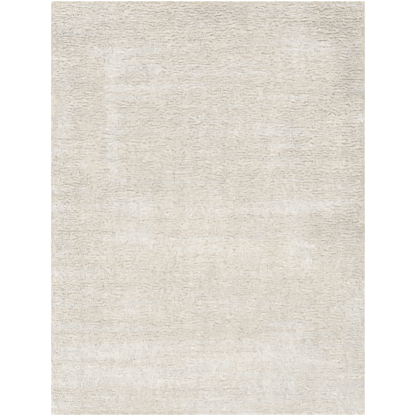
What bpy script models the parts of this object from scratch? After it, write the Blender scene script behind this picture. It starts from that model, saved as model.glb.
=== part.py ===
"""A large cream shag rug lying flat: one lumpy slab of pile with short locks round its rim.

Metres, +Z up. The flat underside lies on z = 0 with its centre at the origin.
+X runs across the rug and +Y along it, towards its head end.
"""

import math

import bmesh
import bpy
import numpy as np

# Overall size, from lock tip to lock tip and from the floor to the highest lump.
WIDTH = 2.366
LENGTH = 3.120
HEIGHT = 0.035

# The slab of pile.
LOCK_REACH = 0.009           # the longest lock stands this far out of the pile's widest line
LUMP_DEPTH = 0.014           # from the highest lump down to the lowest hollow
CELLS_ACROSS = 34            # wide cells, because the lumps run from side to side
CELLS_ALONG = 70
RIM_BAND = 0.020             # the outermost row of the pile's top, which rounds over to the rim
STRAY = 0.009                # how far a point of the top may stand from its even place
EDGE_SLACK = 0.001           # a point this near the edge of the top counts as on it
LUMP_SEED = 7

# The rim in section, from the shoulder of the pile down to the floor.
RIM = (
    # set back from the widest line, height above the floor, share of the lumps it follows
    (0.0060, 0.0240, 0.35),
    (0.0000, 0.0190, 0.20),
    (0.0000, 0.0090, 0.00),
    (0.0055, 0.0045, 0.00),
    (0.0065, 0.0000, 0.00),
)
LOCK_ROW = 1                 # locks grow from the facets between this line of RIM and the next

# Swells of the pile: long ridges from side to side, broken up by slanting ones.
SWELLS = (
    # crests per metre across, crests per metre along, start in turns, share of the depth
    (0.35, 4.60, 0.10, 0.24),
    (-0.90, 7.30, 0.55, 0.24),
    (1.20, 9.70, 0.25, 0.18),
    (2.10, 2.90, 0.30, 0.16),
    (-3.30, 4.10, 0.80, 0.14),
    (1.30, -0.80, 0.65, 0.10),
)
ROUGHNESS = 0.35             # share of the depth that changes from one tuft of pile to the next

# Locks, one to a facet of the rim, in an order that repeats round the rug.
LOCKS = (
    # reach as a share of LOCK_REACH, droop, drift along the rim, width share, thickness share
    (1.00, 0.0030, 0.006, 0.46, 0.80),
    (0.55, 0.0050, -0.004, 0.60, 0.74),
    (0.85, 0.0010, 0.003, 0.40, 0.86),
    (0.40, 0.0040, -0.007, 0.52, 0.70),
    (0.95, 0.0045, -0.002, 0.44, 0.82),
    (0.65, 0.0020, 0.008, 0.56, 0.76),
    (0.75, 0.0060, 0.001, 0.48, 0.78),
)
NECK_OUT = 0.45              # the neck of a lock, as a share of the way to its tip
NECK_SIZE = 0.62             # and its size, as a share of the root's

PILE_COLOUR = (0.716, 0.667, 0.601, 1.0)
PILE_ROUGHNESS = 0.95


def clear_scene():
    """Removes whatever the scene holds."""
    for item in list(bpy.data.objects):
        bpy.data.objects.remove(item, do_unlink=True)


def pile_material():
    """Soft matt cream yarn."""
    material = bpy.data.materials.new("pile_yarn")
    material.use_nodes = True
    shader = material.node_tree.nodes["Principled BSDF"]
    shader.inputs["Base Color"].default_value = PILE_COLOUR
    shader.inputs["Roughness"].default_value = PILE_ROUGHNESS
    shader.inputs["Metallic"].default_value = 0.0
    return material


def grid_lines(half, cells):
    """Even cells from -half to half, with one narrow band more at either end."""
    inner = np.linspace(-half + RIM_BAND, half - RIM_BAND, cells + 1)
    return np.concatenate(([-half], inner, [half]))


def pile_top():
    """Points of the pile's upper surface, as three arrays: x, y and the lump height from 0 to 1.

    The lump height is a sum of slanting cosine swells and of an uneven part for every point,
    which its neighbour across shares, brought to the range from 0 to 1 over the inner points.
    Inner points stray a little from their even places.
    """
    set_back = LOCK_REACH + RIM[0][0]
    x_lines = grid_lines(WIDTH / 2 - set_back, CELLS_ACROSS)
    y_lines = grid_lines(LENGTH / 2 - set_back, CELLS_ALONG)
    x, y = np.meshgrid(x_lines, y_lines, indexing="ij")
    lumps = np.zeros_like(x)
    for across, along, start, share in SWELLS:
        lumps += share * np.cos(math.tau * (across * x + along * y + start))
    rng = np.random.default_rng(LUMP_SEED)
    uneven = rng.uniform(-1, 1, x.shape)
    lumps += ROUGHNESS * (uneven + np.roll(uneven, 1, axis=0))
    inner = lumps[1:-1, 1:-1]
    lumps = np.clip((lumps - inner.min()) / np.ptp(inner), 0, 1)
    stray = rng.uniform(-STRAY, STRAY, (2, *x.shape))
    stray[:, :2, :] = 0
    stray[:, -2:, :] = 0
    stray[:, :, :2] = 0
    stray[:, :, -2:] = 0
    return x + stray[0], y + stray[1], lumps


def add_top(bm):
    """Adds the lumpy top and returns its outer line of points, counter-clockwise from above."""
    x, y, lumps = pile_top()
    z = HEIGHT - LUMP_DEPTH * (1 - lumps)
    _, rim_height, follow = RIM[0]
    edge = np.zeros(x.shape, bool)
    edge[[0, -1], :] = True
    edge[:, [0, -1]] = True
    z[edge] = rim_height + follow * LUMP_DEPTH * (lumps[edge] - 0.5)
    columns, rows = x.shape
    grid = [[bm.verts.new((x[i, j], y[i, j], z[i, j])) for j in range(rows)] for i in range(columns)]
    for i in range(columns - 1):
        for j in range(rows - 1):
            bm.faces.new((grid[i][j], grid[i + 1][j], grid[i + 1][j + 1], grid[i][j + 1]))
    right, head = columns - 1, rows - 1
    return (
        [grid[i][0] for i in range(right)]
        + [grid[right][j] for j in range(head)]
        + [grid[i][head] for i in range(right, 0, -1)]
        + [grid[0][j] for j in range(head, 0, -1)]
    )


def outward(value, edge):
    """1 or -1 for a value on the edge of the rug, and 0 for one between its edges."""
    return math.copysign(1, value) if abs(value) > edge - EDGE_SLACK else 0


def add_rim(bm, line):
    """Carries the section RIM round the rug from the top's outer line down to the floor.

    Every point of a line below stands straight out from the top's point by the difference of
    their set-backs, and at a corner both ways. Returns the facets of each row and the last line.
    """
    set_back, top_height, top_follow = RIM[0]
    x_edge = max(vert.co.x for vert in line)
    y_edge = max(vert.co.y for vert in line)
    count = len(line)
    above = line
    rows = []
    for back, height, follow in RIM[1:]:
        step = set_back - back
        below = []
        for start in line:
            x, y, z = start.co
            lump = (z - top_height) * follow / top_follow
            place = (x + step * outward(x, x_edge), y + step * outward(y, y_edge), height + lump)
            below.append(bm.verts.new(place))
        rows.append([
            bm.faces.new((below[k], below[(k + 1) % count], above[(k + 1) % count], above[k]))
            for k in range(count)
        ])
        above = below
    return rows, above


def add_underside(bm, line):
    """Closes the flat underside with strips across it, and a fan of facets at either end."""
    across = CELLS_ACROSS + 2
    along = CELLS_ALONG + 2
    foot = line[:across + 1]
    right = line[across:across + along + 1]
    head = line[across + along:2 * across + along + 1]
    left = (line[2 * across + along:] + line[:1])[::-1]
    for j in range(1, along - 1):
        bm.faces.new((left[j], left[j + 1], right[j + 1], right[j]))
    for near, far, edge in ((left[1], right[1], foot), (right[-2], left[-2], head)):
        for k in range(across):
            bm.faces.new((near, edge[k + 1], edge[k]))
        bm.faces.new((near, far, edge[-1]))


def scale_about(verts, centre, along, along_share, up_share):
    """Brings points towards a centre, by one share along the rim and by another up and down."""
    for vert in verts:
        offset = vert.co - centre
        run = along * offset.dot(along)
        vert.co = centre + run * along_share + (offset - run) * up_share


def grow_lock(bm, facet, row):
    """Draws one facet of the rim out: a root in the facet, a narrower neck and a pointed tip."""
    reach, droop, drift, width, thickness = row
    out = facet.normal.copy()
    out.z = 0
    out.normalize()
    along = out.cross((0, 0, 1))
    centre = facet.calc_center_median()
    tip = out * (LOCK_REACH * reach) + along * drift
    tip.z -= droop
    bmesh.ops.inset_individual(bm, faces=[facet], thickness=0)
    scale_about(facet.verts, centre, along, width, thickness)
    neck = bmesh.ops.extrude_discrete_faces(bm, faces=[facet])["faces"][0]
    scale_about(neck.verts, centre, along, NECK_SIZE, NECK_SIZE)
    for vert in neck.verts:
        vert.co += tip * NECK_OUT
    point = bmesh.ops.poke(bm, faces=[neck])["verts"][0]
    point.co = centre + tip


def shag_rug():
    """The whole rug as one closed body: lumpy top, rounded rim with its locks, flat underside."""
    bm = bmesh.new()
    outer_line = add_top(bm)
    rows, last_line = add_rim(bm, outer_line)
    add_underside(bm, last_line)
    bmesh.ops.recalc_face_normals(bm, faces=bm.faces)
    for number, facet in enumerate(rows[LOCK_ROW]):
        grow_lock(bm, facet, LOCKS[number % len(LOCKS)])
    bmesh.ops.triangulate(bm, faces=bm.faces)
    mesh = bpy.data.meshes.new("shag_rug")
    bm.to_mesh(mesh)
    bm.free()
    mesh.materials.append(pile_material())
    rug = bpy.data.objects.new("shag_rug", mesh)
    bpy.context.scene.collection.objects.link(rug)
    return rug


clear_scene()
shag_rug()
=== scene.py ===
"""A large cream shag rug seen from straight above: rows of leaning pile on a woven ground.

Everything is in metres, in the frame of the rug's slab: the floor is z = 0, +Y is the head
end and +X the right side. The pile leans towards the foot end, -Y. Each lock of pile is a
pointed three-sided tube that bends once, at its shoulder, and all the locks of a piece are
worked out together, as whole arrays.
"""

import math

import bpy
import numpy as np
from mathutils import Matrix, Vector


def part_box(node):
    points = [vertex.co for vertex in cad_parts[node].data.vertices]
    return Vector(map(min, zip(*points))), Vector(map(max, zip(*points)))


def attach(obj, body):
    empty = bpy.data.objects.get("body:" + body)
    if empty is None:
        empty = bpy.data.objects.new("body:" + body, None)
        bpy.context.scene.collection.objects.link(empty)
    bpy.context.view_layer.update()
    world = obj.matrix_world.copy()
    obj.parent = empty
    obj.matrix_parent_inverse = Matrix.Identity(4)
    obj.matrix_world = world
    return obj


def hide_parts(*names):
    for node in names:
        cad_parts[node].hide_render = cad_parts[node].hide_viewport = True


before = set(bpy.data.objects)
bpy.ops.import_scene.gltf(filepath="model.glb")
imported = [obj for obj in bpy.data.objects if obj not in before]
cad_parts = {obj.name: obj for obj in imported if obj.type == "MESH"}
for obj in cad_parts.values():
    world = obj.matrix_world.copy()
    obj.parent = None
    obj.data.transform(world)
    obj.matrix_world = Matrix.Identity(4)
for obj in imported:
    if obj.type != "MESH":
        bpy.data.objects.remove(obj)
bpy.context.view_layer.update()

# ---------------------------------------------------------------- sizes, from the slab
HALF_WIDTH, HALF_LENGTH, PILE_TOP = np.array(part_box("shag_rug")[1])

# The photograph's frame is square, and the rug's length fills nearly all of it.
FRAME_PIXELS = 416
RUG_PIXELS = 413.5
LENS = 50.0
SENSOR = 36.0

# The woven ground, with the dense foot of the pile on it.
GROUND_TOP = 0.017
GROUND_UNEVEN = 0.0025       # a point of its top may stand this far above or below that
GROUND_CELL = 0.016          # from one point of its top to the next
GROUND_SET_BACK = 0.016      # from the slab's edge, so the rim's locks hang over it
GROUND_SEED = 30

# The pile. A lock is rooted inside the ground, rises to its shoulder and lies over to its tip.
ROOT_HEIGHT = 0.004
LOCK_SPACING = 0.0072
LOCK_STRAY = 0.0018          # a root may stand this far from its even place
LOCK_HALF_WIDTH = 0.0060
LOCK_WIDTHS = (0.8, 1.2)     # the narrowest and the widest lock, as shares of that
LOCK_HALF_DEPTH = 0.0030
LOCK_ROLL = 0.30             # a lock's ridge may lie this far from straight up, in radians
SHOULDER = 0.35              # the shoulder's share of the way from root to tip
SHOULDER_SINK = 0.002        # the shoulder lies at least this far below the slab's top
SHOULDER_JITTER = 0.6        # how far it strays sideways, as a share of the tip's own stray
SHOULDER_SHADE = 0.30        # painted shade on the shoulder, where 1 is the painted shade at the pile's foot
VALLEY_SHADE = 0.50          # how much more painted shade it gets in the valley of a row
VALLEY_POWER = 3             # a higher power makes the valleys narrower
PILE_BANDS = 5               # the pile is made in this many bands, one piece each
PILE_INSET = 0.001           # roots stand at least this far inside the ground's sides
FOOT_SET_BACK = 0.017        # the first roots stand this far in from the slab's edge
HEAD_SET_BACK = 0.007        # and the last ones this far
LEAN = 0.014                 # how far the pile lies towards the foot end, without its rows
LEAN_CHANGE = (
    # cell across and along, how far the lean changes, seed
    ((0.150, 0.050), 0.002, 4),
)
LEAN_JITTER = 0.0006
SIDE_CHANGE = (
    # cell across and along, how far tips lie to a side, seed
    ((0.070, 0.090), 0.005, 5),
    ((0.018, 0.025), 0.003, 8),
)
SIDE_JITTER = 0.0012
TIP_DROP = 0.004             # the shortest locks end this far below the slab's top
TIP_REACH = (-0.004, 0.002)  # how far the outermost tips may stand past the slab's edge
EDGE_BAND = 0.016            # within this band along the edge the pile's top rounds down
EDGE_DROP = 0.010            # by this much at the edge itself

# Rows of tufts: locks whose tips are drawn together into wandering crests from side to side.
ROW_LENGTH = 0.0202
ROW_STEP = 0.0054            # a row's crest stands this far over the next row's back
ROW_WANDER = (
    # cell across and along, how far rows wander in turns, seed
    ((0.130, 0.070), 0.80, 1),
    ((0.045, 0.040), 0.38, 2),
    ((0.020, 0.022), 0.28, 3),
)
DRAW = 0.73                  # how far the tips of a row come together, from 0 to 1
DRAW_BY_ROUGH = 0.22         # they come closer where the pile looks rough
DRAW_BY_WHITE = 0.40         # and the white areas lie smoother
DRAW_CHANGE = (
    # cell across and along, how far the draw changes, seed
    ((0.022, 0.016), 0.15, 6),
    ((0.160, 0.090), 0.10, 7),
)
TUFT_WIDTH = 0.012
TUFT_BULGE = 0.66            # how far a tuft stands out of its row's line, in turns
BULGE_SEED = 23
TUFT_CHANGE = 0.95           # how far the draw changes from one tuft to the next
TUFT_SEED = 24

# The rim: locks that hang out over the ground's edge in layers, from the floor up.
RIM_SPACING = 0.0045
RIM_ROOT = 0.024             # the roots' rectangle, set back from the slab's outline
RIM_ROOT_STRAY = 0.006       # and by up to this much more
RIM_ROOT_LIFT = 0.004        # no root lies higher than this above the pile's roots
RIM_ARCH = (0.60, 0.90)      # the shoulder's share of the way from root to tip
RIM_JITTER = 0.0015
RIM_LEAN = 0.006             # the rim's locks lie towards the foot end too, by this much
RIM_HALF_WIDTH = 0.0046
RIM_ROOT_SHADE = 0.40        # how much painted shade its roots get, where 1 is the foot of the pile
RIM_VALLEY_SHADE = 0.5               # the rows of tufts add this much painted shade in their valleys
RIM_LAYERS = (
    # lowest tip, highest tip, rise to the shoulder, tip's set-back, its stray, its painted shade
    (0.0010, 0.0050, 0.0030, -0.0020, 0.0010, 1.00),
    (0.0050, 0.0110, 0.0035, -0.0050, 0.0010, 1.00),
    (0.0110, 0.0170, 0.0040, -0.0050, 0.0010, 0.90),
    (0.0160, 0.0220, 0.0045, -0.0010, 0.0030, 0.60),
    (0.0200, 0.0270, 0.0030, 0.0070, 0.0050, 0.20),
)

SEED = 20
TINY = 1e-9                  # keeps a division from meeting zero


# ---------------------------------------------------------------- smooth uneven fields
LAST_CELL = 1.001            # a place is kept this far from the end of a table, in cells
CELLS_BEFORE = 1             # a field's table starts this many cells outside the rug
CELLS_SPARE = 4              # and has this many cells more than the rug takes up


def sample(table, u, v):
    """Value of a table between its points: a blend of the four nearest, eased by 3t^2 - 2t^3."""
    u = np.clip(u, 0, table.shape[0] - LAST_CELL)
    v = np.clip(v, 0, table.shape[1] - LAST_CELL)
    i, j = u.astype(int), v.astype(int)
    a, b = u - i, v - j
    a, b = a * a * (3 - 2 * a), b * b * (3 - 2 * b)
    near = table[i, j] * (1 - a) + table[i + 1, j] * a
    far = table[i, j + 1] * (1 - a) + table[i + 1, j + 1] * a
    return near * (1 - b) + far * b


def uneven(x, y, cell, seed):
    """A smooth field from -1 to 1: random numbers on cells of the given size, blended."""
    rng = np.random.default_rng(SEED + seed)
    halves = (HALF_WIDTH, HALF_LENGTH)
    table = rng.uniform(-1, 1, [int(2 * half / size) + CELLS_SPARE for half, size in zip(halves, cell)])
    u, v = ((place + half) / size + CELLS_BEFORE for place, half, size in zip((x, y), halves, cell))
    return sample(table, u, v)


def changes(x, y, table):
    """Sum of uneven fields. Each row of the table gives a field's cell, its size and its seed."""
    return sum(size * uneven(x, y, cell, seed) for cell, size, seed in table)


# ---------------------------------------------------------------- the slab's lumps
RASTER = 0.020               # from one point of the raster to the next
BELL = 0.022                 # spread of the bell curve that smooths the lumps
TOP_FROM = 0.0195            # the slab's points above this height belong to its upper side


def slab_raster():
    """Heights of the slab's upper side on an even raster.

    Each raster point takes the mean of the slab's own points, weighted by a bell curve of their
    distance across times one of their distance along.
    """
    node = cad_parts["shag_rug"]
    points = np.empty(len(node.data.vertices) * 3)
    node.data.vertices.foreach_get("co", points)
    points = points.reshape(-1, 3)
    points = points[points[:, 2] > TOP_FROM]
    xs = np.arange(-HALF_WIDTH, HALF_WIDTH + RASTER, RASTER)
    ys = np.arange(-HALF_LENGTH, HALF_LENGTH + RASTER, RASTER)
    across = np.exp(-((xs[:, None] - points[None, :, 0]) / BELL) ** 2 / 2)
    along = np.exp(-((ys[:, None] - points[None, :, 1]) / BELL) ** 2 / 2)
    weight = across @ along.T + TINY
    return (across * points[:, 2]) @ along.T / weight


SLAB = slab_raster()


def slab_height(x, y):
    """Height of the slab's lumps at any place."""
    return sample(SLAB, (x + HALF_WIDTH) / RASTER, (y + HALF_LENGTH) / RASTER)


# ---------------------------------------------------------------- rows of tufts
def rows_of_tufts(x, y):
    """How each place lies in its row: its share of the way back from the crest, and its draw.

    A row is one ROW_LENGTH long and runs from side to side. Its number is the whole part of
    y / ROW_LENGTH plus uneven fields, which make the rows wander, close up and open out. The
    fraction left is the share of the way back, moved by each tuft's bulge. The draw, from 0 to
    1, is how far the tips there come together at the crest, and it changes from tuft to tuft.
    """
    turns = y / ROW_LENGTH
    for cell, size, seed in ROW_WANDER:
        turns = turns + size * uneven(x, y, cell, seed)
    row = np.floor(turns) * ROW_LENGTH
    tuft = (TUFT_WIDTH, ROW_LENGTH / 2)
    bulge = TUFT_BULGE * uneven(x, row, tuft, BULGE_SEED)
    back = np.clip(turns - np.floor(turns) + bulge, 0, 1)
    draw = DRAW + DRAW_BY_ROUGH * roughness(x, y) - DRAW_BY_WHITE * whiteness(x, y)
    draw += TUFT_CHANGE * uneven(x, row, tuft, TUFT_SEED)
    for cell, size, seed in DRAW_CHANGE:
        draw = draw + size * uneven(x, y, cell, seed)
    return back, np.clip(draw, 0.0, 1.0)


# ---------------------------------------------------------------- tone of the pile
WHITE_AREAS = (
    # centre x, centre y, half width, half length, how white the yarn is dyed there
    (-0.73, 1.15, 0.14, 0.06, 0.9),
    (-0.50, 1.20, 0.34, 0.03, 0.7),
    (-0.72, 0.85, 0.06, 0.36, 0.4),
    (0.66, 1.23, 0.16, 0.10, 0.8),
    (0.95, 1.17, 0.20, 0.03, 0.4),
    (0.00, 1.02, 0.85, 0.03, 0.6),
    (0.02, 0.76, 0.03, 0.17, 0.4),
    (0.20, 0.60, 0.90, 0.02, 0.4),
    (-0.73, 0.42, 0.07, 0.20, 0.9),
    (-1.00, 0.33, 0.19, 0.03, 0.5),
    (-0.60, 0.01, 0.20, 0.07, 0.9),
    (-0.13, 0.02, 0.33, 0.05, 0.4),
    (0.60, 0.02, 0.34, 0.06, 0.8),
    (0.95, 0.02, 0.23, 0.03, 0.6),
    (-0.60, -0.20, 0.16, 0.09, 0.8),
    (-0.25, -0.27, 0.31, 0.04, 0.6),
    (0.68, -0.11, 0.06, 0.29, 0.6),
    (0.32, -0.36, 0.14, 0.06, 0.6),
    (0.70, -0.33, 0.14, 0.11, 1.0),
    (0.80, -0.45, 0.38, 0.03, 0.5),
    (-0.38, -0.64, 0.77, 0.02, 0.7),
    (1.06, -0.90, 0.03, 0.60, 0.6),
    (1.15, -0.75, 0.04, 0.25, 0.8),
    (-0.06, -0.75, 0.02, 0.12, 0.4),
    (-0.60, -0.90, 0.14, 0.05, 0.5),
    (-0.75, -1.10, 0.42, 0.05, 0.9),
    (-0.60, -1.27, 0.50, 0.06, 0.9),
    (0.00, -1.03, 1.10, 0.02, 0.5),
    (0.62, -1.11, 0.28, 0.09, 0.9),
    (0.50, -1.35, 0.20, 0.14, 0.6),
    (0.00, -1.30, 1.16, 0.26, 0.3),
    (-0.73, -1.46, 0.08, 0.07, 0.6),
    (-0.86, 1.43, 0.38, 0.16, 0.4),
    (-1.08, 0.80, 0.11, 0.36, 0.4),
    (1.00, -1.42, 0.24, 0.16, 0.6),
    (0.45, -0.40, 0.75, 0.50, -0.3),
    (0.02, -0.65, 0.18, 0.14, -0.3),
    (1.02, -0.13, 0.18, 0.16, -0.3),
)
ROUGH_AREAS = (
    # centre x, centre y, half width, half length, how much deeper and rougher the pile looks
    (0.96, 1.43, 0.21, 0.15, 1.3),
    (1.06, 1.18, 0.13, 0.10, 0.9),
    (1.08, 0.97, 0.11, 0.15, 1.0),
    (0.13, 1.46, 0.60, 0.10, 0.7),
    (-0.98, 1.28, 0.18, 0.10, 1.0),
    (-0.67, 1.36, 0.12, 0.08, 0.5),
    (-1.00, 0.97, 0.19, 0.15, 0.5),
    (-0.06, 0.50, 0.34, 0.06, 0.4),
    (-0.98, 0.19, 0.17, 0.11, 0.5),
    (-0.48, 0.20, 0.18, 0.11, 0.5),
    (0.88, 0.19, 0.17, 0.13, 0.5),
    (0.90, -0.18, 0.18, 0.11, 1.0),
    (0.45, -0.19, 0.12, 0.10, 0.4),
    (-1.00, -0.32, 0.19, 0.26, 0.3),
    (-0.04, -0.48, 0.40, 0.10, 0.3),
    (0.90, -0.88, 0.13, 0.20, 0.6),
    (-0.77, -1.40, 0.37, 0.06, 0.4),
    (1.12, -0.20, 0.08, 1.50, 0.9),
    (0.75, -1.32, 0.42, 0.22, 0.3),
    (-0.10, -0.15, 0.85, 0.30, -0.5),
    (-0.10, -1.15, 0.95, 0.16, -0.4),
    (-0.72, 0.70, 0.07, 0.60, -0.2),
    (-0.36, 0.42, 0.32, 0.12, -0.3),
    (0.45, -0.40, 0.65, 0.28, -0.3),
)
AREA_EDGE = 3                # a higher power gives the areas a harder edge
AREA_STRAY_X = (
    # cell across and along, how far an area's sides stray, seed
    ((0.400, 0.016), 0.070, 14),
)
AREA_STRAY_Y = (
    # cell across and along, how far its ends stray, seed
    ((0.016, 0.300), 0.035, 15),
)
AREA_BREAK = (
    # cell across and along, how far the areas are broken up, seed
    ((0.400, 0.016), 0.60, 21),
    ((0.030, 0.300), 0.40, 22),
)
DYE_STREAKS = (
    # cell across and along, how strong the streaks of dye are, seed
    ((0.600, 0.020), 0.85, 11),
    ((0.034, 0.450), 0.42, 12),
    ((0.250, 0.120), 0.30, 13),
)
DYE_START = 0.02             # only the tops of the dye's streaks show
DYE_GAIN = 1.2
ROUGH_STREAKS = (
    # cell across and along, how much rougher the pile looks, seed
    ((0.380, 0.060), 0.20, 16),
    ((0.034, 0.400), 0.26, 17),
    ((0.500, 0.016), 0.44, 18),
)


def areas(x, y, table):
    """Sum of soft areas, broken up across and along, whose places stray to brush their edges.

    Each row adds its level times e to the power of minus (way across / half width)^3 minus
    (way along / half length)^3.
    """
    stray_x = changes(x, y, AREA_STRAY_X)
    stray_y = changes(x, y, AREA_STRAY_Y)
    total = np.zeros_like(x)
    for centre_x, centre_y, half_x, half_y, level in table:
        across = np.abs((x + stray_x - centre_x) / half_x) ** AREA_EDGE
        along = np.abs((y + stray_y - centre_y) / half_y) ** AREA_EDGE
        total += level * np.exp(-across - along)
    return total * (1 + changes(x, y, AREA_BREAK))


def whiteness(x, y):
    """How white the yarn is dyed, from 0 for beige to 1: areas, and the tops of crossing streaks."""
    tops = np.clip(changes(x, y, DYE_STREAKS) - DYE_START, 0, 1)
    return np.clip(areas(x, y, WHITE_AREAS) + DYE_GAIN * tops, 0, 1)


def roughness(x, y):
    """How deep and rough the pile looks, about -1 to 2: the areas and long streaks."""
    return areas(x, y, ROUGH_AREAS) + changes(x, y, ROUGH_STREAKS)


# ---------------------------------------------------------------- meshes from arrays
SIDES = 3                    # a lock is a tube of this many sides
EVEN_LOCK = 0.5              # each lock has a value from 0 to 1, and this one changes no tone
MAP_MARGIN = 0.02            # how far a face stays inside its cell of the map


def new_piece(name, points, corners, sizes, smooth, material):
    """A mesh object from flat arrays: its points, its faces' corners and each face's corner count."""
    mesh = bpy.data.meshes.new(name)
    mesh.vertices.add(len(points))
    mesh.vertices.foreach_set("co", points.astype(np.float32).ravel())
    mesh.loops.add(len(corners))
    mesh.loops.foreach_set("vertex_index", corners.astype(np.int32))
    mesh.polygons.add(len(sizes))
    starts = np.concatenate(([0], np.cumsum(sizes)[:-1]))
    mesh.polygons.foreach_set("loop_start", starts.astype(np.int32))
    mesh.polygons.foreach_set("use_smooth", smooth)
    mesh.update(calc_edges=True)
    mesh.validate()
    mesh.materials.append(material)
    piece = bpy.data.objects.new(name, mesh)
    bpy.context.scene.collection.objects.link(piece)
    return piece


def write_values(piece, name, values):
    """Stores one number for each point of the mesh, which the material reads by name."""
    layer = piece.data.attributes.new(name, "FLOAT", "POINT")
    layer.data.foreach_set("value", values.astype(np.float32).ravel())


def write_map(piece, name, places):
    """Stores a flat map: one place for each corner of each face."""
    layer = piece.data.uv_layers.new(name=name)
    layer.data.foreach_set("uv", places.astype(np.float32).ravel())


def lock_faces(rings):
    """Faces of one lock: a fan from the root, quads between the rings and a fan to the tip.

    Point 0 is the root, then come the rings of three, and the last point is the tip. With each
    face goes its place in the lock's cell of the map, the three sides beside each other.
    """
    faces, places = [], []
    tip = 1 + SIDES * rings
    for side in range(SIDES):
        after = (side + 1) % SIDES
        left = side / SIDES + MAP_MARGIN
        right = (side + 1) / SIDES - MAP_MARGIN
        middle = (left + right) / 2
        faces.append((0, 1 + after, 1 + side))
        places.append(((middle, 0), (right, 1), (left, 1)))
        for ring in range(1, rings):
            high = 1 + SIDES * ring
            low = high - SIDES
            faces.append((low + side, low + after, high + after, high + side))
            places.append(((left, ring), (right, ring), (right, ring + 1), (left, ring + 1)))
        faces.append((tip - SIDES + side, tip - SIDES + after, tip))
        places.append(((left, rings), (right, rings), (middle, rings + 1)))
    flat = np.array([place for face in places for place in face]) / (1, rings + 1)
    return faces, flat * (1 - 2 * MAP_MARGIN) + MAP_MARGIN


def unit(vectors):
    """Vectors brought to the length 1."""
    return vectors / (np.linalg.norm(vectors, axis=1, keepdims=True) + TINY)


def locks(name, spine, depth, width, material, rng):
    """Joined locks of pile, each a three-sided tube along its spine, pointed at root and tip.

    The spine holds a lock's root, the middles of its rings and its tip. A ring lies square to
    the mean of the spine's two directions there, wide along the level and thin across it. Its
    points go round by a third of a turn each, from a first one that is nearly on top.
    """
    count, stations, _ = spine.shape
    rings = stations - 2
    per_lock = 2 + SIDES * rings
    points = np.empty((count, per_lock, 3))
    points[:, 0] = spine[:, 0]
    points[:, -1] = spine[:, -1]
    roll = math.tau / 4 + rng.uniform(-LOCK_ROLL, LOCK_ROLL, count)
    for ring in range(rings):
        before = unit(spine[:, ring + 1] - spine[:, ring])
        after = unit(spine[:, ring + 2] - spine[:, ring + 1])
        way = unit(before + after)
        level = unit(np.cross(way, (0, 0, 1.0)))
        over = np.cross(level, way)
        for corner in range(SIDES):
            turn = roll - corner * math.tau / SIDES
            wide = (width * np.cos(turn))[:, None] * level
            deep = (LOCK_HALF_DEPTH * np.sin(turn))[:, None] * over
            points[:, 1 + SIDES * ring + corner] = spine[:, ring + 1] + wide + deep
    faces, places = lock_faces(rings)
    corners = np.concatenate([np.array(face) for face in faces])
    sizes = np.array([len(face) for face in faces])
    corners = (corners[None, :] + per_lock * np.arange(count)[:, None]).ravel()
    smooth = np.tile(np.array([0 not in face for face in faces]), count)
    sizes = np.tile(sizes, count)
    piece = new_piece(name, points.reshape(-1, 3), corners, sizes, smooth, material)
    x, y = spine[:, 1, 0], spine[:, 1, 1]
    # the depth is how much painted shade each point gets, where 1 is the painted shade at the pile's
    # foot
    write_values(piece, "depth", np.repeat(depth, [1] + [SIDES] * rings + [1], axis=1))
    write_values(piece, "white", np.repeat(whiteness(x, y), per_lock))
    write_values(piece, "rough", np.repeat(roughness(x, y), per_lock))
    write_values(piece, "lock", np.repeat(rng.random(count), per_lock))
    cells_across = math.ceil(math.sqrt(count))
    number = np.arange(count)
    cells = np.stack((number % cells_across, number // cells_across), axis=1)[:, None, :]
    write_map(piece, "OFBake", (cells + places[None, :, :]) / cells_across)
    write_map(piece, "strand", np.tile(places, (count, 1)))
    piece.data.uv_layers["OFBake"].active_render = True
    return piece


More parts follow.
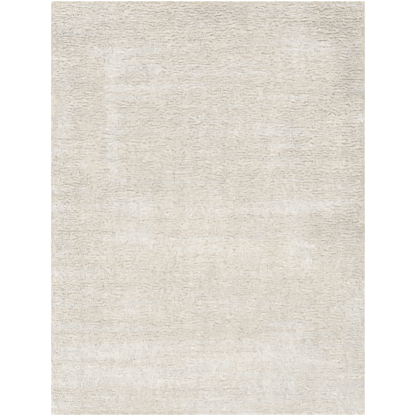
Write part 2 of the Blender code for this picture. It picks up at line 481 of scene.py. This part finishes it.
def pile_band(name, low, high, material, rng):
    """The locks of the pile between two lines across the rug.

    Roots stand on an even grid, each strayed within its own cell. A lock leans by LEAN plus
    its way to its row's crest: by half a row everywhere where the draw is 0, and by its own
    share of the row where the draw is 1, so the tips meet there in one line. Its shoulder lies
    below the slab's top by ROW_STEP times its valley: the draw times the cube of its share of
    the way back from the crest. Tips drop towards the slab's edge in a straight slope.
    """
    half_x = HALF_WIDTH - GROUND_SET_BACK - PILE_INSET
    columns = int(2 * half_x / LOCK_SPACING) + 1
    rows = round((high - low) / LOCK_SPACING)
    x_lines = np.linspace(-half_x, half_x, columns)
    y_lines = low + (np.arange(rows) + 0.5) * (high - low) / rows
    x, y = np.meshgrid(x_lines, y_lines)
    count = x.size
    x = np.clip(x.ravel() + rng.uniform(-LOCK_STRAY, LOCK_STRAY, count), -half_x, half_x)
    y = y.ravel() + rng.uniform(-LOCK_STRAY, LOCK_STRAY, count)
    back, draw = rows_of_tufts(x, y)
    lean = LEAN + ROW_LENGTH * (0.5 + draw * (back - 0.5))
    lean += changes(x, y, LEAN_CHANGE)
    tip_x = x + changes(x, y, SIDE_CHANGE) + rng.normal(0, SIDE_JITTER, count)
    tip_y = y - lean + rng.normal(0, LEAN_JITTER, count)
    reach = rng.uniform(*TIP_REACH, count)
    tip_x = np.clip(tip_x, -HALF_WIDTH - reach, HALF_WIDTH + reach)
    tip_y = np.clip(tip_y, -HALF_LENGTH - reach, HALF_LENGTH + reach)
    edge = np.minimum(HALF_WIDTH - np.abs(tip_x), HALF_LENGTH - np.abs(tip_y))
    top = slab_height(tip_x, tip_y) - TIP_DROP * rng.random(count) ** 2
    top -= EDGE_DROP * np.clip(1 - edge / EDGE_BAND, 0, 1)
    shoulder_x = x + SHOULDER * (tip_x - x) + rng.normal(0, SIDE_JITTER * SHOULDER_JITTER, count)
    shoulder_y = y - SHOULDER * lean
    behind = np.clip(back + (LEAN - SHOULDER * lean) / ROW_LENGTH, 0, 1)
    valley = draw * behind ** VALLEY_POWER
    shoulder_z = slab_height(shoulder_x, shoulder_y) - SHOULDER_SINK - ROW_STEP * valley
    root = (x, y, np.full(count, ROOT_HEIGHT))
    shoulder = (shoulder_x, shoulder_y, shoulder_z)
    spine = np.stack((root, shoulder, (tip_x, tip_y, top))).transpose(2, 0, 1)
    width = LOCK_HALF_WIDTH * rng.uniform(*LOCK_WIDTHS, count)
    # painted shade: the root is fully shaded, the shoulder more so where the draw is low and in a row's
    # valley, the tip not at all
    shoulder_shade = SHOULDER_SHADE * (1 - draw) + VALLEY_SHADE * valley
    depth = np.stack((np.ones(count), shoulder_shade, np.zeros(count)), axis=1)
    return locks(name, spine, depth, width, material, rng)


def rim_pile(name, material, rng):
    """Locks that splay out over the ground's edge all round, in layers one above another.

    Tips stand at even places along the slab's outline, each strayed within its own cell, and a
    lock is rooted at the nearest place of the rectangle RIM_ROOT further in, so the locks fan
    out round a corner. A lock rises from its root, arches over its shoulder and droops.
    """
    outer = np.array((HALF_WIDTH, HALF_LENGTH))
    side = np.array([2 * outer[0], 2 * outer[1], 2 * outer[0], 2 * outer[1]])
    start = np.cumsum(side) - side
    places = int(side.sum() / RIM_SPACING)
    layer = np.repeat(np.arange(len(RIM_LAYERS)), places)
    count = layer.size
    way = (np.tile(np.arange(places), len(RIM_LAYERS)) + rng.random(count)) * side.sum() / places
    edge = np.searchsorted(start, way, side="right") - 1
    run = way - start[edge]
    x = np.choose(edge, (run - outer[0], outer[0], outer[0] - run, -outer[0]))
    y = np.choose(edge, (-outer[1], run - outer[1], outer[1], outer[1] - run))
    tip_low, tip_high, lift, inset, stray, shade = np.array(RIM_LAYERS)[layer].T
    inset = inset + rng.uniform(-stray, stray)
    x = np.clip(x, inset - outer[0], outer[0] - inset)
    y = np.clip(y, inset - outer[1], outer[1] - inset)
    limit = outer - RIM_ROOT - rng.uniform(0, RIM_ROOT_STRAY, (count, 1))
    root_x = np.clip(x, -limit[:, 0], limit[:, 0])
    root_y = np.clip(y + RIM_LEAN, -limit[:, 1], limit[:, 1])
    tip_z = rng.uniform(tip_low, tip_high)
    arch = rng.uniform(*RIM_ARCH, count)
    root = (root_x, root_y, np.minimum(tip_z, ROOT_HEIGHT + RIM_ROOT_LIFT))
    shoulder = (root_x + arch * (x - root_x), root_y + arch * (y - root_y), tip_z + lift)
    spine = np.stack((root, shoulder, (x, y, tip_z))).transpose(2, 0, 1)
    spine[:, 1, :2] += rng.normal(0, RIM_JITTER, (count, 2))
    width = RIM_HALF_WIDTH * rng.uniform(*LOCK_WIDTHS, count)
    back, draw = rows_of_tufts(x, y)
    # painted shade: set by the layer, and more in the valleys of the rows of tufts
    shade = shade + RIM_VALLEY_SHADE * draw * back ** VALLEY_POWER
    depth = np.stack((np.full(count, RIM_ROOT_SHADE), shade, shade), axis=1)
    return locks(name, spine, depth, width, material, rng)


# ---------------------------------------------------------------- the ground of the rug
def ground(material, under_material):
    """The woven ground with the dense foot of the pile on it: uneven above and flat below.

    The top is a grid of even cells whose heights stray. Its outer line is carried straight down
    to the floor, and strips across, with a fan of triangles at either end, close the underside.
    """
    half_x, half_y = HALF_WIDTH - GROUND_SET_BACK, HALF_LENGTH - GROUND_SET_BACK
    columns = int(2 * half_x / GROUND_CELL) + 1
    rows = int(2 * half_y / GROUND_CELL) + 1
    x_lines = np.linspace(-half_x, half_x, columns)
    y_lines = np.linspace(-half_y, half_y, rows)
    x, y = np.meshgrid(x_lines, y_lines, indexing="ij")
    rng = np.random.default_rng(SEED + GROUND_SEED)
    z = GROUND_TOP + rng.uniform(-GROUND_UNEVEN, GROUND_UNEVEN, x.shape)
    index = np.arange(columns * rows).reshape(columns, rows)
    top = np.stack((x, y, z), axis=2).reshape(-1, 3)
    quads = np.stack((index[:-1, :-1], index[1:, :-1], index[1:, 1:], index[:-1, 1:]), axis=2)
    quads = quads.reshape(-1, 4)
    line = np.concatenate((index[:-1, 0], index[-1, :-1], index[:0:-1, -1], index[0, :0:-1]))
    foot = top[line] * (1, 1, 0)
    foot_index = len(top) + np.arange(len(line))
    wall = np.stack((foot_index, np.roll(foot_index, -1), np.roll(line, -1), line), axis=1)
    left = np.concatenate((foot_index[:1], foot_index[:2 * columns + rows - 4:-1]))
    right = foot_index[columns - 1:columns + rows - 1]
    strips = np.stack((left[1:-2], left[2:-1], right[2:-1], right[1:-2]), axis=1)
    near = foot_index[:columns]
    far = foot_index[columns + rows - 2:2 * columns + rows - 2]
    fan_near = np.stack((np.full(columns - 1, left[1]), near[1:], near[:-1]), axis=1)
    fan_far = np.stack((np.full(columns - 1, right[-2]), far[1:], far[:-1]), axis=1)
    closers = np.array([(left[1], right[1], near[-1]), (right[-2], left[-2], far[-1])])
    triangles = np.concatenate((fan_near, fan_far, closers))
    corners = np.concatenate((quads.ravel(), wall.ravel(), strips.ravel(), triangles.ravel()))
    sizes = np.array([4] * (len(quads) + len(wall) + len(strips)) + [3] * len(triangles))
    smooth = np.arange(len(sizes)) < len(quads)
    points = np.concatenate((top, foot))
    piece = new_piece("woven_ground", points, corners, sizes, smooth, material)
    piece.data.materials.append(under_material)
    slots = np.zeros(len(sizes), np.int32)
    slots[len(quads) + len(wall):] = 1
    piece.data.polygons.foreach_set("material_index", slots)
    x, y = points[:, :2].T
    write_values(piece, "white", whiteness(x, y))
    write_values(piece, "rough", roughness(x, y))
    # the ground's top is painted with the full painted shade of the pile's foot
    write_values(piece, "depth", np.ones(len(x)))
    write_values(piece, "lock", np.full(len(x), EVEN_LOCK))
    return piece


# ---------------------------------------------------------------- materials
# Colours of the yarn, each for its two dyes: at the tips, and with the painted shade it gets deep in
# the pile.
BEIGE = (0.8005, 0.7545, 0.6935, 1)
WHITE = (0.8110, 0.7885, 0.7565, 1)
SHADED_BEIGE = (0.594, 0.524, 0.404, 1)
SHADED_WHITE = (0.645, 0.620, 0.563, 1)
ROUGH_PAINTED_SHADE = 0.052          # painted shade: how much darker the yarn is painted where the roughness is 1
LOCK_SHADE = 0.05            # how far one lock's tone stands from the next one's
LOCK_DYE = 0.30              # and how far its dye does, from beige to white
YARN_ROUGHNESS = (0.86, 0.98)
YARN_SPECULAR = 0.1

STRANDS = 9.0                # strands round a lock
STRAND_WAVES = 1.4           # bends of a strand along it
STRAND_DEPTH = 0.0007
STRAND_SHADE = 0.10
LOCK_APART = 100.0           # far enough in the noise for each lock to have strands of its own

FIBRE_DETAIL = 2.0
FIBRE_RANGE = (-0.5, 1.5)    # spreads the noise, which stays near its middle, over 0 to 1
FIBRE_MIDDLE = 0.5

BACKING_LIGHT = (0.640, 0.585, 0.500, 1)
BACKING_GAP_SHADE = (0.420, 0.370, 0.300, 1)
BACKING_PITCH = 0.0042       # from one thread of the woven underside to the next
BACKING_DEPTH = 0.0009
BACKING_FIBRES = (90.0, 900.0, 900.0)    # fibres to the metre along X, Y and Z: long along X
BACKING_FIBRE_HEIGHT = 0.25  # a fibre's height, where a thread's is 1
BACKING_SHADE_POWER = 0.5     # under 1, so the painted shade stays in the gaps between threads
BACKING_ROUGHNESS = (0.88, 1.00)


def fill(tree, socket, value):
    """Links a socket to another, or sets it to a number or colour."""
    if isinstance(value, bpy.types.NodeSocket):
        tree.links.new(value, socket)
    else:
        socket.default_value = value


def maths(tree, operation, a, b=0.0, c=0.0):
    """One step of arithmetic on sockets or numbers."""
    step = tree.nodes.new("ShaderNodeMath")
    step.operation = operation
    for socket, value in zip(step.inputs, (a, b, c)):
        fill(tree, socket, value)
    return step.outputs[0]


def attribute(tree, name):
    """Reads a number stored on the mesh."""
    reader = tree.nodes.new("ShaderNodeAttribute")
    reader.attribute_name = name
    return reader.outputs["Fac"]


COLOUR_INPUTS = (0, 6, 7)    # a Mix node's sockets for its factor and for its two colours
COLOUR_OUTPUT = 2


def mix(tree, share, first, second):
    """A colour part of the way from the first to the second."""
    step = tree.nodes.new("ShaderNodeMix")
    step.data_type = "RGBA"
    factor, start, end = (step.inputs[number] for number in COLOUR_INPUTS)
    fill(tree, factor, share)
    fill(tree, start, first)
    fill(tree, end, second)
    return step.outputs[COLOUR_OUTPUT]


def between(tree, share, low, high):
    """A number part of the way from low to high."""
    step = tree.nodes.new("ShaderNodeMapRange")
    for socket, value in (("Value", share), ("To Min", low), ("To Max", high)):
        fill(tree, step.inputs[socket], value)
    return step.outputs["Result"]


def scaled(tree, vector, size):
    """A vector or colour times a number."""
    step = tree.nodes.new("ShaderNodeVectorMath")
    step.operation = "SCALE"
    tree.links.new(vector, step.inputs[0])
    fill(tree, step.inputs["Scale"], size)
    return step.outputs[0]


def new_group(name, inputs, outputs):
    """An empty node group with named sockets, and its input and output nodes."""
    group = bpy.data.node_groups.new(name, "ShaderNodeTree")
    for socket, kind in inputs:
        group.interface.new_socket(socket, in_out="INPUT", socket_type=kind)
    for socket, kind in outputs:
        group.interface.new_socket(socket, in_out="OUTPUT", socket_type=kind)
    return group, group.nodes.new("NodeGroupInput"), group.nodes.new("NodeGroupOutput")


def fibre_group():
    """Fibres along a strand: a noise drawn out by the vector it is given, as height and as shade.

    The height runs from about 0 in the grooves to about 1 on the ridges. The shade is 1 plus the
    amount times how far the height stands from its middle.
    """
    number, vector = "NodeSocketFloat", "NodeSocketVector"
    inputs = (("Vector", vector), ("Amount", number))
    group, given, result = new_group("fibres", inputs, (("Height", number), ("Shade", number)))
    noise = group.nodes.new("ShaderNodeTexNoise")
    noise.inputs["Scale"].default_value = 1.0
    noise.inputs["Detail"].default_value = FIBRE_DETAIL
    group.links.new(given.outputs["Vector"], noise.inputs["Vector"])
    height = between(group, noise.outputs["Fac"], *FIBRE_RANGE)
    ridge = maths(group, "SUBTRACT", height, FIBRE_MIDDLE)
    shade = maths(group, "MULTIPLY_ADD", ridge, given.outputs["Amount"], 1.0)
    group.links.new(height, result.inputs["Height"])
    group.links.new(shade, result.inputs["Shade"])
    return group


def new_material(name):
    """A material with its node tree and its shader."""
    material = bpy.data.materials.new(name)
    material.use_nodes = True
    return material, material.node_tree, material.node_tree.nodes["Principled BSDF"]


def fibres(tree, group, vector, amount):
    """The fibre group's height and shade for a vector."""
    node = tree.nodes.new("ShaderNodeGroup")
    node.node_tree = group
    tree.links.new(vector, node.inputs["Vector"])
    node.inputs["Amount"].default_value = amount
    return node.outputs["Height"], node.outputs["Shade"]


def bump(tree, shader, height, depth):
    """Bends the shader's normal by a height from 0 to 1, depth metres high."""
    step = tree.nodes.new("ShaderNodeBump")
    step.inputs["Distance"].default_value = depth
    tree.links.new(height, step.inputs["Height"])
    tree.links.new(step.outputs["Normal"], shader.inputs["Normal"])


def pile_material(fibre):
    """Matt cream yarn in strands: beige to white by its dye, with painted shade that makes it browner
    and darker the deeper it lies.
    """
    material, tree, shader = new_material("pile_yarn")
    lock = attribute(tree, "lock")
    white = maths(tree, "ADD", attribute(tree, "white"), between(tree, lock, -LOCK_DYE, LOCK_DYE))
    body = mix(tree, white, BEIGE, WHITE)
    # the painted shade deep in the pile, mixed in by the depth attribute
    deep = mix(tree, white, SHADED_BEIGE, SHADED_WHITE)
    colour = mix(tree, attribute(tree, "depth"), body, deep)
    place = tree.nodes.new("ShaderNodeUVMap")
    place.uv_map = "strand"
    split = tree.nodes.new("ShaderNodeSeparateXYZ")
    tree.links.new(place.outputs["UV"], split.inputs[0])
    join = tree.nodes.new("ShaderNodeCombineXYZ")
    fill(tree, join.inputs["X"], maths(tree, "MULTIPLY", split.outputs["X"], STRANDS))
    fill(tree, join.inputs["Y"], maths(tree, "MULTIPLY", split.outputs["Y"], STRAND_WAVES))
    fill(tree, join.inputs["Z"], maths(tree, "MULTIPLY", lock, LOCK_APART))
    height, shade = fibres(tree, fibre, join.outputs[0], STRAND_SHADE)
    # painted shade: darker where the pile is rough
    shade = maths(tree, "MULTIPLY_ADD", attribute(tree, "rough"), -ROUGH_PAINTED_SHADE, shade)
    shade = maths(tree, "ADD", shade, between(tree, lock, -LOCK_SHADE, LOCK_SHADE))
    tree.links.new(scaled(tree, colour, shade), shader.inputs["Base Color"])
    tree.links.new(between(tree, height, *YARN_ROUGHNESS), shader.inputs["Roughness"])
    shader.inputs["Specular IOR Level"].default_value = YARN_SPECULAR
    bump(tree, shader, height, STRAND_DEPTH)
    return material


def backing_material(fibre):
    """The woven underside in jute colours: threads over and under each other, with their fibres, and
    painted shade in the gaps between them.

    The weave's height is the size of a sine across times a sine along, one thread to half a wave.
    """
    material, tree, shader = new_material("woven_backing")
    coordinates = tree.nodes.new("ShaderNodeTexCoord")
    split = tree.nodes.new("ShaderNodeSeparateXYZ")
    tree.links.new(coordinates.outputs["Object"], split.inputs[0])
    turn = math.pi / BACKING_PITCH
    across = maths(tree, "SINE", maths(tree, "MULTIPLY", split.outputs["X"], turn))
    along = maths(tree, "SINE", maths(tree, "MULTIPLY", split.outputs["Y"], turn))
    weave = maths(tree, "ABSOLUTE", maths(tree, "MULTIPLY", across, along))
    stretched = tree.nodes.new("ShaderNodeMapping")
    stretched.inputs["Scale"].default_value = BACKING_FIBRES
    tree.links.new(coordinates.outputs["Object"], stretched.inputs["Vector"])
    height, shade = fibres(tree, fibre, stretched.outputs[0], STRAND_SHADE)
    raised = maths(tree, "MULTIPLY_ADD", height, BACKING_FIBRE_HEIGHT, weave)
    # painted shade: the colour darkens towards the gaps between the threads
    tone = maths(tree, "POWER", weave, BACKING_SHADE_POWER)
    colour = mix(tree, tone, BACKING_GAP_SHADE, BACKING_LIGHT)
    tree.links.new(scaled(tree, colour, shade), shader.inputs["Base Color"])
    tree.links.new(between(tree, height, *BACKING_ROUGHNESS), shader.inputs["Roughness"])
    bump(tree, shader, raised, BACKING_DEPTH)
    return material


# ---------------------------------------------------------------- stage
FLOOR_HALF = 14.0            # half the floor's side
FLOOR_DROP = 0.0005          # the floor lies this far under the rug's flat underside
FLOOR_TONE = (0.90, 0.90, 0.90, 1)
FLOOR_ROUGHNESS = 0.9
LIGHT_COLOUR = (1, 1, 1, 1)
LIGHT_STRENGTH = 1.42


def make_camera():
    """A camera straight above the rug's centre, as far off as the photograph's frame needs."""
    data = bpy.data.cameras.new("camera")
    data.lens = LENS
    data.sensor_width = SENSOR
    camera = bpy.data.objects.new("camera", data)
    frame_length = 2 * HALF_LENGTH * FRAME_PIXELS / RUG_PIXELS
    camera.location = (0, 0, PILE_TOP / 2 + frame_length * LENS / SENSOR)
    bpy.context.scene.collection.objects.link(camera)
    bpy.context.scene.camera = camera


def make_floor():
    """A plain near-white floor."""
    material = bpy.data.materials.new("floor")
    material.use_nodes = True
    shader = material.node_tree.nodes["Principled BSDF"]
    shader.inputs["Base Color"].default_value = FLOOR_TONE
    shader.inputs["Roughness"].default_value = FLOOR_ROUGHNESS
    mesh = bpy.data.meshes.new("floor")
    half = FLOOR_HALF
    corners = [(-half, -half, 0), (half, -half, 0), (half, half, 0), (-half, half, 0)]
    mesh.from_pydata(corners, [], [(0, 1, 2, 3)])
    mesh.materials.append(material)
    floor = bpy.data.objects.new("floor", mesh)
    floor.location.z = -FLOOR_DROP
    bpy.context.scene.collection.objects.link(floor)


def make_light():
    """Even white light from all round."""
    world = bpy.data.worlds.new("studio")
    world.use_nodes = True
    background = world.node_tree.nodes["Background"]
    background.inputs["Color"].default_value = LIGHT_COLOUR
    background.inputs["Strength"].default_value = LIGHT_STRENGTH
    bpy.context.scene.world = world
    bpy.context.scene.view_settings.view_transform = "Standard"


def main():
    """Makes the stage, the woven ground, the bands of pile and the rim."""
    make_camera()
    make_floor()
    make_light()
    fibre = fibre_group()
    yarn = pile_material(fibre)
    base = ground(yarn, backing_material(fibre))
    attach(base, "root")
    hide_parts("shag_rug")
    rng = np.random.default_rng(SEED)
    edges = np.linspace(-HALF_LENGTH + FOOT_SET_BACK, HALF_LENGTH - HEAD_SET_BACK, PILE_BANDS + 1)
    for number, (low, high) in enumerate(zip(edges[:-1], edges[1:]), 1):
        band = pile_band(f"pile_band_{number}", low, high, yarn, rng)
        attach(band, "root")
    rim = rim_pile("rim_pile", yarn, rng)
    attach(rim, "root")


main()
